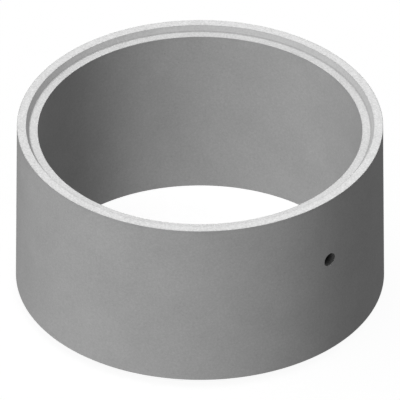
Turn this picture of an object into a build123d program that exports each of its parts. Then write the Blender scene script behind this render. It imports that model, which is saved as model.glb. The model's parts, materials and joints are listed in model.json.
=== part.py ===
from build123d import *
from math import radians, tan
import os

# Precast concrete ring for a culvert or a well: one cast piece with a rebated joint.
# It stands on the tongue at its foot, and the rebate for the next ring's tongue is on top.
# Frame: origin at the centre of the tongue's end, +Z up the ring's axis,
# +X out through the first lifting hole.

# Ring body, in millimetres
bore_radius = 447.0            # at the ledge, the narrow end of the bore
wall_thickness = 58.0          # the same at every height, as both faces have one draft
laying_height = 500.0          # from the outer foot up to the land
mould_draft = 0.3              # degrees, and both faces widen downward

# Rebated joint
land_width = 25.5              # the high outer rim of the top face
rebate_depth = 16.0            # from the land down to the ledge
joint_taper = 27.0             # degrees from the axis, on the rebate's step and the tongue
joint_clearance = 4.0          # radial room for mortar between the tongue and the step
tongue_length = 20.5           # below the outer foot

# Rounds that the mould leaves on the section
arris_radius = 1.0             # outside edges
corner_radius = 3.0            # inside corners, at the step's foot and the tongue's root

# Blind lifting holes in the outer face, level with each other
lifting_hole_count = 2
lifting_hole_radius = 20.0
lifting_hole_drop = 200.0      # from the land down to the hole's axis
lifting_hole_cover = 18.0      # concrete between the hole's floor and the bore
lifting_mouth_round = 0.5
lifting_floor_round = 4.0

cut_overrun = 10.0             # how far a cut runs past the face that it opens
full_turn = 360.0              # degrees

# Levels, up from the tongue's end
foot_z = tongue_length
land_z = foot_z + laying_height
ledge_z = land_z - rebate_depth
lifting_hole_z = land_z - lifting_hole_drop


def widening(drop):
    """How much the radius of a face grows over a drop, by the mould's draft."""
    return drop * tan(radians(mould_draft))


def taper_run(rise):
    """How far the joint's taper runs outward over a rise."""
    return rise * tan(radians(joint_taper))


# Radii of the wall's faces
outer_top_radius = bore_radius + wall_thickness
outer_foot_radius = outer_top_radius + widening(laying_height)
bore_end_radius = bore_radius + widening(ledge_z)

# Radii of the joint
step_top_radius = outer_top_radius - land_width
step_foot_radius = step_top_radius - taper_run(rebate_depth)
tongue_end_radius = step_foot_radius - joint_clearance
tongue_root_radius = tongue_end_radius + taper_run(tongue_length)

# How far out from the axis a lifting hole starts and ends
lifting_mouth_reach = outer_top_radius + widening(lifting_hole_drop)
lifting_floor_reach = bore_radius + widening(lifting_hole_drop - rebate_depth) + lifting_hole_cover
lifting_hole_depth = lifting_mouth_reach - lifting_floor_reach

# The wall's section as (radius, level), from the bore's foot round to the ledge
bore_foot = (bore_end_radius, 0)
tongue_end = (tongue_end_radius, 0)
tongue_root = (tongue_root_radius, foot_z)
outer_foot = (outer_foot_radius, foot_z)
outer_top = (outer_top_radius, land_z)
step_top = (step_top_radius, land_z)
step_foot = (step_foot_radius, ledge_z)
bore_mouth = (bore_radius, ledge_z)

arrises = [bore_foot, tongue_end, outer_foot, outer_top, step_top, bore_mouth]
inside_corners = [tongue_root, step_foot]


def vertices_at(sketch, points):
    """The vertices of a sketch that lie at these points."""
    return [sketch.vertices().sort_by_distance(Vertex(*point))[0] for point in points]


def facing_out(angle, reach, level):
    """Plane at a reach and a level that faces straight out from the ring's axis."""
    outward = Vector(1, 0, 0).rotate(Axis.Z, angle)
    return Plane(origin=outward * reach + Vector(0, 0, level), z_dir=outward)


with BuildPart() as concrete_ring:
    # The section stands a quarter turn away from the lifting holes, clear of their mouths
    with BuildSketch(Plane.YZ) as section:
        with BuildLine():
            Polyline(
                bore_foot,
                tongue_end,
                tongue_root,
                outer_foot,
                outer_top,
                step_top,
                step_foot,
                bore_mouth,
                close=True,
            )
        make_face()
        fillet(vertices_at(section, arrises), radius=arris_radius)
        fillet(vertices_at(section, inside_corners), radius=corner_radius)
    revolve(axis=Axis.Z)

    for index in range(lifting_hole_count):
        angle = full_turn * index / lifting_hole_count
        with BuildSketch(facing_out(angle, lifting_floor_reach, lifting_hole_z)):
            Circle(lifting_hole_radius)
        extrude(amount=lifting_hole_depth + cut_overrun, mode=Mode.SUBTRACT)
        hole_floor = edges(Select.LAST).filter_by(GeomType.CIRCLE)
        fillet(hole_floor, radius=lifting_floor_round)

    # The mouths, where the holes meet the round wall, are the only free curves on the ring
    hole_mouths = edges().filter_by(GeomType.BSPLINE)
    fillet(hole_mouths, radius=lifting_mouth_round)

concrete_ring.part.label = "concrete_ring"
os.makedirs("parts", exist_ok=True)
export_step(concrete_ring.part, "parts/concrete_ring.step")
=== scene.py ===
import json
import math
import random
from collections import namedtuple

import bmesh
import bpy
from mathutils import Matrix, Vector, noise


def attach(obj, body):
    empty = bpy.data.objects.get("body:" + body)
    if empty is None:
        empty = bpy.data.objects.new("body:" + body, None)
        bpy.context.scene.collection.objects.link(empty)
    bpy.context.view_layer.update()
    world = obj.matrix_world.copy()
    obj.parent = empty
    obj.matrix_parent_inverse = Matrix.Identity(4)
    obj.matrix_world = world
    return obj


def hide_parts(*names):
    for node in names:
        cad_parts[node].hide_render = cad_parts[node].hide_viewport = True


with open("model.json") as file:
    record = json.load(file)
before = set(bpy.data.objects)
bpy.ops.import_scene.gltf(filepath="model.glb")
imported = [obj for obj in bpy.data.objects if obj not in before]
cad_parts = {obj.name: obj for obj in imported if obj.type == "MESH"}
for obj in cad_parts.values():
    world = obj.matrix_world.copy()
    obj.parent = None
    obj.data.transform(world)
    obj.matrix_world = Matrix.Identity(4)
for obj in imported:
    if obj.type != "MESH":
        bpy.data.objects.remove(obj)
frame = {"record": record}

MM = 0.001
FULL_TURN = 2 * math.pi
QUARTER_TURN = math.pi / 2

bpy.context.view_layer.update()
mounts = {mount["name"]: mount for mount in frame["record"]["mounts"]}

# Levels of the ring, from the frame
foot_z = mounts["outer_foot"]["pos_m"][2]
ledge_z = mounts["ledge"]["pos_m"][2]
land_z = mounts["land"]["pos_m"][2]

# The wall and its joint, as cast
bore_radius = 447.0 * MM
wall_thickness = 58.0 * MM
land_width = 25.5 * MM
joint_clearance = 4.0 * MM
mould_draft = math.radians(0.3)
joint_taper = math.radians(27.0)
arris_radius = 1.0 * MM
corner_radius = 3.0 * MM

# Lifting holes
hole_z = mounts["lifting_hole_a"]["pos_m"][2]
hole_radius = mounts["lifting_hole_a"]["dims"]["r_mm"] * MM
hole_cover = 18.0 * MM
hole_mouth_round = 0.5 * MM
hole_floor_round = 4.0 * MM
hole_bearings = (0.0, math.pi)

# How finely the ring is drawn
columns = 360
cell = 8.8 * MM
edge_margin = 1.5 * MM              # the last row of cells beside an arris or a corner
round_steps = 4
hole_window = 4                     # cells on each side of a hole's axis that its mouth takes
hole_ring_shares = (0.4, 0.7, 0.9, 1.0)   # from the window's edge in to the mouth
hole_floor_rings = 3

# What the mould and the vibration leave on the surface
skin = 0.05 * MM                    # sinks the whole surface, so that it stays inside the frame
sweep_length = 180.0 * MM           # long waves, where the steel mould gives a little
sweep_depth = 0.16 * MM
ripple_length = 26.0 * MM           # short waves, from the paste settling against it
ripple_depth = 0.06 * MM
voids_a_square_metre = 260
void_radii = (0.55 * MM, 1.6 * MM)
void_size_power = 3                 # how much commoner the small voids are
void_room = 1.5                     # kept free round a void's middle in its cell, in radii
void_stretches = (0.75, 1.0)        # a void's width, as a share of its length
void_depth_shares = (0.5, 0.9)      # its depth, as a share of its radius
void_bowl_share = 0.72              # reach of the bowl's own ring, as a share of the rim's
void_bowl_depth_share = 0.7         # how deep that ring lies, as a share of the void's depth
void_sides = 8
void_start = -0.75 * math.pi        # the bearing of a cell's first corner from its middle
void_seed = 11

# How much darker the paste is drawn than on the open faces, from 0 to 1: painted shade, in the
# rebate's corners, on its step and ledge, along the arrises, in the voids and in the lifting
# holes.
arris_painted_shade = 0.28
mouth_arris_painted_shade = 0.22        # where the bore opens
step_painted_shade = 0.12
ledge_painted_shade = 0.075
corner_painted_shade = 0.38
margin_shade_blend = 0.15                 # how much of an edge's painted shade its margin row still has
void_painted_shade = 0.2
collar_painted_shade = 0.65             # painted shade: a dark line on the round of the hole's mouth
hole_painted_shade = 0.95               # painted shade at the inner end of the hole's wall
hole_floor_painted_shade = 0.5          # painted shade at the middle of its floor, lighter than at the wall
# Rings of a hole's wall, as shares of its depth, and how much painted shade each has
hole_wall_shares = ((0.06, collar_painted_shade), (0.1, 0.0), (0.3, 0.3), (0.65, 0.8),
                    (1.0, hole_painted_shade))


def widening(drop):
    """How much the radius of a face grows over a drop, by the mould's draft."""
    return drop * math.tan(mould_draft)


def taper_run(rise):
    """How far the joint's taper runs outward over a rise."""
    return rise * math.tan(joint_taper)


def outer_radius(level):
    """Radius of the outer face at a level."""
    return bore_radius + wall_thickness + widening(land_z - level)


Corner = namedtuple("Corner", "radius level round darkening run_darkening")


def section_corners():
    """Corners of the wall's section, from the bore's foot round to the ledge, each with its own
    painted shade and the painted shade of the straight run after it. The corner with no round
    marks the level of the lifting holes."""
    step_top = outer_radius(land_z) - land_width
    step_foot = step_top - taper_run(land_z - ledge_z)
    tongue_end = step_foot - joint_clearance
    return [
        Corner(bore_radius + widening(ledge_z), 0.0, arris_radius, 0.0, 0.0),
        Corner(tongue_end, 0.0, arris_radius, 0.0, 0.0),
        Corner(tongue_end + taper_run(foot_z), foot_z, corner_radius, corner_painted_shade, 0.0),
        Corner(outer_radius(foot_z), foot_z, arris_radius, 0.0, 0.0),
        Corner(outer_radius(hole_z), hole_z, 0.0, 0.0, 0.0),
        Corner(outer_radius(land_z), land_z, arris_radius, arris_painted_shade, 0.0),
        Corner(step_top, land_z, arris_radius, arris_painted_shade, step_painted_shade),
        Corner(step_foot, ledge_z, corner_radius, corner_painted_shade, ledge_painted_shade),
        Corner(bore_radius, ledge_z, arris_radius, mouth_arris_painted_shade, 0.0),
    ]


def corner_round(before, corner, after, radius):
    """Points along the round between two straight runs."""
    if not radius:
        return [corner]
    back, on = (before - corner).normalized(), (after - corner).normalized()
    half = back.angle(on) / 2
    centre = corner + (back + on).normalized() * radius / math.sin(half)
    start = (corner + back * radius / math.tan(half) - centre).normalized()
    end = (corner + on * radius / math.tan(half) - centre).normalized()
    return [centre + start.slerp(end, step / round_steps) * radius
            for step in range(round_steps + 1)]


def section_points():
    """The section's outline as (point, painted shade), and the rows of cells that are flat and
    wide enough for a void."""
    corners = section_corners()
    places = [Vector((corner.radius, corner.level)) for corner in corners]
    rounds = [corner_round(places[i - 1], places[i], places[(i + 1) % len(places)], corner.round)
              for i, corner in enumerate(corners)]
    outline, open_rows = [], set()
    for index, corner in enumerate(corners):
        outline += [(point, corner.darkening) for point in rounds[index]]
        after = (index + 1) % len(corners)
        start, end = rounds[index][-1], rounds[after][0]
        length = (end - start).length
        low = edge_margin if corner.round else 0.0
        high = length - (edge_margin if corners[after].round else 0.0)
        count = max(round((high - low) / cell), 1)
        if (high - low) / count > cell / 2:
            first_row = len(outline) if corner.round else len(outline) - 1
            open_rows.update(range(first_row, first_row + count))
        for step in range(0 if corner.round else 1, count + (1 if corners[after].round else 0)):
            edge = {0: corner, count: corners[after]}.get(step)
            extra = (edge.darkening - corner.run_darkening) * margin_shade_blend if edge else 0.0
            reach = low + (high - low) * step / count
            outline.append((start.lerp(end, reach / length), corner.run_darkening + extra))
    return outline, open_rows


def sink(place):
    """How far the cast surface lies inside its nominal place."""
    sweep = (noise.noise(place / sweep_length) + 1) / 2
    ripple = (noise.noise(place / ripple_length) + 1) / 2
    return skin + sweep * sweep_depth + ripple * ripple_depth


def cast_point(place, inward):
    """A point of the cast surface, a little way in from its nominal place."""
    return place + inward * sink(place)


def wall_point(bearing, across, level):
    """A point of the outer face, by its distance round the wall from a bearing."""
    radius = outer_radius(level)
    angle = bearing + across / radius
    outward = Vector((math.cos(angle), math.sin(angle), 0))
    return cast_point(outward * radius + Vector((0, 0, level)), -outward)


def add_vertex(mesh, place, darkening):
    """A vertex of the skin, and how much painted shade darkens the paste there."""
    vertex = mesh.verts.new(place)
    vertex[mesh.verts.layers.float["darkening"]] = darkening
    return vertex


def make_grid(mesh, outline):
    """Vertices of the turned surface, row by row along the section."""
    grid = []
    for index, (point, darkening) in enumerate(outline):
        tangent = outline[(index + 1) % len(outline)][0] - outline[index - 1][0]
        inward = Vector((-tangent.y, tangent.x)).normalized()
        row = []
        for column in range(columns):
            angle = FULL_TURN * column / columns
            turn = Matrix.Rotation(angle, 3, "Z")
            place = cast_point(turn @ Vector((point.x, 0, point.y)),
                               turn @ Vector((inward.x, 0, inward.y)))
            row.append(add_vertex(mesh, place, darkening))
        grid.append(row)
    return grid


def bridge(mesh, outer, inner):
    """Faces between two rings of as many vertices."""
    count = len(outer)
    for index in range(count):
        after = (index + 1) % count
        mesh.faces.new((outer[index], outer[after], inner[after], inner[index]))


def fan(mesh, ring, middle):
    """Faces from a ring to the vertex at its middle."""
    for index, vertex in enumerate(ring):
        mesh.faces.new((vertex, ring[(index + 1) % len(ring)], middle))


def make_void(mesh, corners, rng):
    """An air void in one cell of the surface: a crisp rim and a round bowl, with painted shade in
    the bowl.
    """
    low, high = void_radii
    radius = low + (high - low) * rng.random() ** void_size_power
    middle = sum((v.co for v in corners), Vector()) / len(corners)
    right = (corners[1].co - corners[0].co).normalized()
    out = right.cross(corners[3].co - corners[0].co).normalized()
    up = out.cross(right)
    room = cell / 2 - radius * void_room
    middle += right * rng.uniform(-room, room) + up * rng.uniform(-room, room)
    stretch = rng.uniform(*void_stretches)
    lean = rng.uniform(0, math.pi)
    depth = radius * rng.uniform(*void_depth_shares)
    layer = mesh.verts.layers.float["darkening"]
    darkening = sum(v[layer] for v in corners) / len(corners)

    def oval(share, sunk, extra):
        """A ring of the void's vertices, at a share of its radius."""
        made = []
        for side in range(void_sides):
            angle = FULL_TURN * side / void_sides + void_start
            reach = radius * share * (1 - (1 - stretch) * math.sin(angle - lean) ** 2)
            spot = right * math.cos(angle) + up * math.sin(angle)
            made.append(add_vertex(mesh, middle + spot * reach - out * sunk, darkening + extra))
        return made

    rim = oval(1.0, 0.0, 0.0)
    bowl = oval(void_bowl_share, depth * void_bowl_depth_share, void_painted_shade)
    span = void_sides // len(corners)
    for side, corner in enumerate(corners):
        rim_part = [rim[(side * span + step) % void_sides] for step in reversed(range(span + 1))]
        mesh.faces.new((corner, corners[(side + 1) % len(corners)], *rim_part))
    bridge(mesh, rim, bowl)
    fan(mesh, bowl, add_vertex(mesh, middle - out * depth, darkening + void_painted_shade))
    for side in range(void_sides):
        mesh.edges.get((rim[side], rim[(side + 1) % void_sides])).smooth = False


def make_hole(mesh, grid, hole_row, bearing):
    """A lifting hole: the wall's cells close in on its round mouth, then its wall and floor."""
    middle_column = round(bearing / FULL_TURN * columns)
    low, high = -hole_window, hole_window
    span = range(low, high)
    edge = [(step, low) for step in span] + [(high, step) for step in span]
    edge += [(-step, high) for step in span] + [(low, -step) for step in span]
    ring = [grid[hole_row + up][(middle_column + across) % columns] for across, up in edge]
    outward = Matrix.Rotation(bearing, 3, "Z")
    flat = []
    for vertex in ring:
        place = outward.inverted() @ vertex.co
        across = math.atan2(place.y, place.x) * outer_radius(place.z)
        flat.append(Vector((across, place.z - hole_z)))
    spokes = [place.normalized() for place in flat]

    def next_ring(places, darkening=0.0):
        """Carry the surface on from the last ring of vertices to these places."""
        nonlocal ring
        made = [add_vertex(mesh, place, darkening) for place in places]
        bridge(mesh, ring, made)
        ring = made

    def spaced(radius, reach):
        """A ring's places, at a radius from the hole's axis. Their reach from the ring's own
        axis is one for all, or worked out for each spoke."""
        return [outward @ Vector((reach(spoke) if callable(reach) else reach,
                                  spoke.x * radius, spoke.y * radius + hole_z))
                for spoke in spokes]

    def face(spoke):
        """Reach of the outer face where a spoke meets the hole's wall."""
        level = spoke.y * hole_radius + hole_z
        return math.sqrt(outer_radius(level) ** 2 - (spoke.x * hole_radius) ** 2) - skin

    mouth = hole_radius + hole_mouth_round
    for share in hole_ring_shares:
        places = [start.lerp(spoke * mouth, share) for start, spoke in zip(flat, spokes)]
        next_ring([wall_point(bearing, p.x, p.y + hole_z) for p in places])
    # Painted shade: a dark line over the mouth's round, deepening down the wall, lighter at the
    # floor's middle
    for step in range(1, round_steps + 1):
        turn = QUARTER_TURN * step / round_steps
        sunk = hole_mouth_round * (1 - math.cos(turn))
        next_ring(spaced(mouth - hole_mouth_round * math.sin(turn), lambda s: face(s) - sunk),
                  collar_painted_shade)

    floor = bore_radius + widening(ledge_z - hole_z) + hole_cover
    wall_end = floor + hole_floor_round
    for share, darkening in hole_wall_shares:
        next_ring(spaced(hole_radius, lambda s: (face(s) - hole_mouth_round) * (1 - share)
                         + wall_end * share), darkening)
    for step in range(1, round_steps + 1):
        turn = QUARTER_TURN * step / round_steps
        next_ring(spaced(hole_radius - hole_floor_round * (1 - math.cos(turn)),
                         wall_end - hole_floor_round * math.sin(turn)), hole_painted_shade)
    for step in range(1, hole_floor_rings):
        share = step / hole_floor_rings
        next_ring(spaced((hole_radius - hole_floor_round) * (1 - share), floor),
                  hole_painted_shade * (1 - share) + hole_floor_painted_shade * share)
    fan(mesh, ring, add_vertex(mesh, outward @ Vector((floor, 0, hole_z)), hole_floor_painted_shade))


def add_object(name, data):
    """A new object of the scene that holds this data."""
    made = bpy.data.objects.new(name, data)
    bpy.context.scene.collection.objects.link(made)
    return made


def make_ring():
    """The whole casting, as one closed skin."""
    rng = random.Random(void_seed)
    mesh = bmesh.new()
    mesh.verts.layers.float.new("darkening")
    outline, open_rows = section_points()
    points = [point for point, darkening in outline]
    grid = make_grid(mesh, outline)
    hole_row = min(range(len(points)),
                   key=lambda row: (points[row] - Vector((outer_radius(hole_z), hole_z))).length)
    hole_columns = [round(bearing / FULL_TURN * columns) for bearing in hole_bearings]
    for row, point in enumerate(points):
        after = (row + 1) % len(points)
        reach = (points[after] - point).length
        chance = voids_a_square_metre * reach * FULL_TURN * point.x / columns
        near_hole = -hole_window <= row - hole_row < hole_window
        for column in range(columns):
            if near_hole and any((column - middle + hole_window) % columns < 2 * hole_window
                                 for middle in hole_columns):
                continue
            beside = (column + 1) % columns
            corners = (grid[row][column], grid[row][beside],
                       grid[after][beside], grid[after][column])
            if row in open_rows and rng.random() < chance:
                make_void(mesh, corners, rng)
            else:
                mesh.faces.new(corners)
    for bearing in hole_bearings:
        make_hole(mesh, grid, hole_row, bearing)
    for face in mesh.faces:
        face.smooth = True
    data = bpy.data.meshes.new("cast_ring")
    mesh.to_mesh(data)
    mesh.free()
    ring = add_object("cast_ring", data)
    even = ring.modifiers.new("even_shading", "WEIGHTED_NORMAL")
    even.keep_sharp = True
    return ring


def linear(code):
    """An sRGB hex colour as linear RGBA."""
    parts = [int(code[i:i + 2], 16) / 255 for i in (1, 3, 5)]
    return [c / 12.92 if c <= 0.04045 else ((c + 0.055) / 1.055) ** 2.4 for c in parts] + [1.0]


def socket(sockets, name):
    """The socket of this name or identifier that the node's settings leave in use."""
    return next(s for s in sockets if s.enabled and name in (s.identifier, s.name))


def add(tree, kind, inputs=None, output=None, **settings):
    """Add one shader node, with its settings, and with links or plain values on its inputs.
    Gives its output of this name, or else the node."""
    node = tree.nodes.new(kind)
    for name, value in settings.items():
        setattr(node, name, value)
    for name, value in (inputs or {}).items():
        if isinstance(value, bpy.types.NodeSocket):
            tree.links.new(value, socket(node.inputs, name))
        else:
            socket(node.inputs, name).default_value = value
    return socket(node.outputs, output) if output else node


def new_material(name):
    """A material with an empty node tree."""
    material = bpy.data.materials.new(name)
    material.use_nodes = True
    material.node_tree.nodes.clear()
    return material, material.node_tree


# The concrete's paste, clouded where water moved through it while it was fresh
paste_dark = "#9F9F9F"
paste_light = "#B1B1B1"
cloud_size = 140.0 * MM
cloud_detail = 5.0
cloud_fineness = 0.65               # strength of each finer layer, as a share of the last one's
cloud_range = (0.3, 0.7)            # from where the paste closed most to where it closed least
closed_roughness = 0.82
open_roughness = 0.94
concrete_ior = 1.5
concrete_specular = 0.3             # under the usual 0.5, because paste is full of fine pores

# Its sand
grain_size = 6.0 * MM               # 2 mm grains under the skin, drawn at three times that to show
grain_detail = 2.0
grain_fineness = 0.6
grain_relief = 0.12 * MM
grit_size = 1.6 * MM                # grains in the skin itself, at their own size
grit_share = 0.35                   # their part in the tone, beside the grains under the skin
grit_relief = 0.05 * MM
sand_bump = 0.5                     # how much of both reliefs shows through the skin
sand_mean = 0.5                     # of both patterns, taken off to leave the mean tone alone
wall_contrast = 0.31                # how much tone the sand gives or takes
floated_contrast = 0.6
floated_range = (0.8, 0.95)         # upward part of the normal, where floating starts and is full

# Its pinholes
pinhole_pitch = 13.0 * MM
pinhole_radius = 0.8 * MM           # the largest
pinhole_bare_share = 0.4            # of the pattern's cells, which have none
pinhole_lip = 0.4                   # width of the slope at the edge, as a share of that radius
pinhole_depth = 0.5 * MM
pinhole_shade_tone = 0.45                 # painted shade inside, as a share of the tone round it


def vibrated_precast_concrete():
    """Grey cement paste cast against oiled steel and vibrated. It is matte and even in tone,
    clouded a little, with fine sand just under its skin and pinholes where air stayed. Painted
    shade darkens the pinholes and the places that the mesh's attribute marks."""
    material, tree = new_material("vibrated_precast_concrete")
    place = add(tree, "ShaderNodeTexCoord", output="Object")

    clouds = add(tree, "ShaderNodeTexNoise",
                 {"Vector": place, "Scale": 1 / cloud_size, "Detail": cloud_detail,
                  "Roughness": cloud_fineness}, "Fac")
    paste = add(tree, "ShaderNodeMix",
                {"Factor": clouds, "A": linear(paste_dark), "B": linear(paste_light)},
                "Result", data_type="RGBA")

    # Sand, lighter and darker than the paste round it. It shows more on the level faces, which
    # were struck off and floated.
    level = add(tree, "ShaderNodeSeparateXYZ",
                {"Vector": add(tree, "ShaderNodeTexCoord", output="Normal")}, "Z")
    contrast = add(tree, "ShaderNodeMapRange",
                   {"Value": level, "From Min": floated_range[0], "From Max": floated_range[1],
                    "To Min": wall_contrast, "To Max": floated_contrast}, "Result")
    grain = add(tree, "ShaderNodeTexNoise",
                {"Vector": place, "Scale": 1 / grain_size, "Detail": grain_detail,
                 "Roughness": grain_fineness}, "Fac")
    grit = add(tree, "ShaderNodeTexVoronoi", {"Vector": place, "Scale": 1 / grit_size})
    grit_tone = add(tree, "ShaderNodeSeparateColor",
                    {"Color": socket(grit.outputs, "Color")}, "Red")
    sand = add(tree, "ShaderNodeMath",
               {"Value": grit_tone, "Value_001": grit_share, "Value_002": grain}, "Value",
               operation="MULTIPLY_ADD")
    uneven = add(tree, "ShaderNodeMath",
                 {"Value": sand, "Value_001": sand_mean * (1 + grit_share)}, "Value",
                 operation="SUBTRACT")
    tone = add(tree, "ShaderNodeMath",
               {"Value": uneven, "Value_001": contrast, "Value_002": 1.0}, "Value",
               operation="MULTIPLY_ADD")

    # Pinholes, of every size from nothing up to their full radius, with painted shade inside
    holes = add(tree, "ShaderNodeTexVoronoi", {"Vector": place, "Scale": 1 / pinhole_pitch})
    hole_size = add(tree, "ShaderNodeMapRange",
                    {"Value": add(tree, "ShaderNodeSeparateColor",
                                  {"Color": socket(holes.outputs, "Color")}, "Green"),
                     "From Min": pinhole_bare_share, "To Max": pinhole_radius / pinhole_pitch},
                    "Result")
    hole_inside = add(tree, "ShaderNodeMath",
                      {"Value": hole_size, "Value_001": socket(holes.outputs, "Distance")},
                      "Value", operation="SUBTRACT")
    hole = add(tree, "ShaderNodeMapRange",
               {"Value": hole_inside, "From Max": pinhole_lip * pinhole_radius / pinhole_pitch},
               "Result")
    pinhole_shade = add(tree, "ShaderNodeMapRange",
                    {"Value": hole, "To Min": 1.0, "To Max": pinhole_shade_tone}, "Result")
    tone = add(tree, "ShaderNodeMath", {"Value": tone, "Value_001": pinhole_shade}, "Value",
               operation="MULTIPLY")

    # Painted shade, carried by the mesh's attribute
    darkening = add(tree, "ShaderNodeAttribute", output="Fac", attribute_name="darkening")
    kept = add(tree, "ShaderNodeMath", {"Value": 1.0, "Value_001": darkening}, "Value",
               operation="SUBTRACT")
    tone = add(tree, "ShaderNodeMath", {"Value": tone, "Value_001": kept}, "Value",
               operation="MULTIPLY")

    colour = add(tree, "ShaderNodeVectorMath", {"Vector": paste, "Scale": tone}, "Vector",
                 operation="SCALE")

    # The skin is matte, and a little smoother where the paste closed against the steel
    roughness = add(tree, "ShaderNodeMapRange",
                    {"Value": clouds, "From Min": cloud_range[0], "From Max": cloud_range[1],
                     "To Min": closed_roughness, "To Max": open_roughness}, "Result")

    sandy = add(tree, "ShaderNodeBump",
                {"Height": grain, "Strength": sand_bump, "Distance": grain_relief}, "Normal")
    gritty = add(tree, "ShaderNodeBump",
                 {"Height": socket(grit.outputs, "Distance"), "Normal": sandy,
                  "Strength": sand_bump, "Distance": grit_relief}, "Normal", invert=True)
    pitted = add(tree, "ShaderNodeBump",
                 {"Height": hole, "Normal": gritty, "Distance": pinhole_depth}, "Normal",
                 invert=True)

    shader = add(tree, "ShaderNodeBsdfPrincipled",
                 {"Base Color": colour, "Roughness": roughness, "Normal": pitted,
                  "IOR": concrete_ior, "Specular IOR Level": concrete_specular}, "BSDF")
    add(tree, "ShaderNodeOutputMaterial", {"Surface": shader})
    return material


# Studio. Bearings are from +X.
view_bearing = math.radians(-45.0)
view_elevation = math.atan(math.sqrt(0.5))   # isometric
view_width = 1102.5 * MM
view_centre = Vector((0, 0, 269.5 * MM))
view_distance = 2.0

key_bearing = math.radians(-86.5)
key_elevation = math.radians(69.2)
key_strength = 5.11
key_spread = math.radians(10.0)
back_bearing = math.radians(135.0)
back_elevation = math.radians(20.0)
back_strength = 0.9
back_spread = math.radians(20.0)
ambient = 0.25
floor_colour = "#AAAAAA"
floor_glow = 0.9
floor_reach = 40.0


def direction(bearing, elevation):
    """The way to something seen at this bearing from +X and this elevation."""
    flat = math.cos(elevation)
    return Vector((flat * math.cos(bearing), flat * math.sin(bearing), math.sin(elevation)))


def aim(thing, centre, way, distance):
    """Stand a lamp or a camera off from a centre, and point it back there."""
    thing.location = centre + way * distance
    thing.rotation_mode = "QUATERNION"
    thing.rotation_quaternion = (-way).to_track_quat("-Z", "Y")


def make_camera():
    """The scene's camera, with no perspective."""
    data = bpy.data.cameras.new("camera")
    data.type = "ORTHO"
    data.ortho_scale = view_width
    camera = add_object("camera", data)
    aim(camera, view_centre, direction(view_bearing, view_elevation), view_distance)
    bpy.context.scene.camera = camera


def make_lamp(name, bearing, elevation, strength, spread, lit):
    """A far lamp that lights only the things in one collection."""
    data = bpy.data.lights.new(name, "SUN")
    data.energy = strength
    data.angle = spread
    lamp = add_object(name, data)
    lamp.light_linking.receiver_collection = lit
    aim(lamp, view_centre, direction(bearing, elevation), view_distance)


def make_surroundings():
    """White to the camera, and a dimmer even light for everything else."""
    world = bpy.data.worlds.new("studio")
    world.use_nodes = True
    tree = world.node_tree
    tree.nodes.clear()
    seen = add(tree, "ShaderNodeLightPath", output="Is Camera Ray")
    strength = add(tree, "ShaderNodeMapRange", {"Value": seen, "To Min": ambient, "To Max": 1.0},
                   "Result")
    background = add(tree, "ShaderNodeBackground",
                     {"Color": linear("#FFFFFF"), "Strength": strength}, "Background")
    add(tree, "ShaderNodeOutputWorld", {"Surface": background})
    bpy.context.scene.world = world


def make_floor():
    """A studio floor that is white by its own glow. The ring leaves only a faint soft shade
    round its foot, and the floor throws no light back up."""
    material, tree = new_material("white_floor")
    shader = add(tree, "ShaderNodeBsdfPrincipled",
                 {"Base Color": linear(floor_colour), "Roughness": 1.0,
                  "Specular IOR Level": 0.0, "Emission Color": linear("#FFFFFF"),
                  "Emission Strength": floor_glow}, "BSDF")
    add(tree, "ShaderNodeOutputMaterial", {"Surface": shader})
    mesh = bmesh.new()
    corners = [(-1, -1), (1, -1), (1, 1), (-1, 1)]
    mesh.faces.new([mesh.verts.new((x * floor_reach, y * floor_reach, 0)) for x, y in corners])
    data = bpy.data.meshes.new("floor")
    mesh.to_mesh(data)
    mesh.free()
    data.materials.append(material)
    floor = add_object("floor", data)
    floor.visible_diffuse = False
    floor.visible_glossy = False


ring = make_ring()
ring.data.materials.append(vibrated_precast_concrete())

lit_by_lamps = bpy.data.collections.new("lit_by_lamps")
lit_by_lamps.objects.link(ring)
make_lamp("key", key_bearing, key_elevation, key_strength, key_spread, lit_by_lamps)
make_lamp("back_fill", back_bearing, back_elevation, back_strength, back_spread, lit_by_lamps)
make_surroundings()
make_floor()
make_camera()

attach(ring, "root")
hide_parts("concrete_ring")

bpy.context.scene.view_settings.view_transform = "Standard"
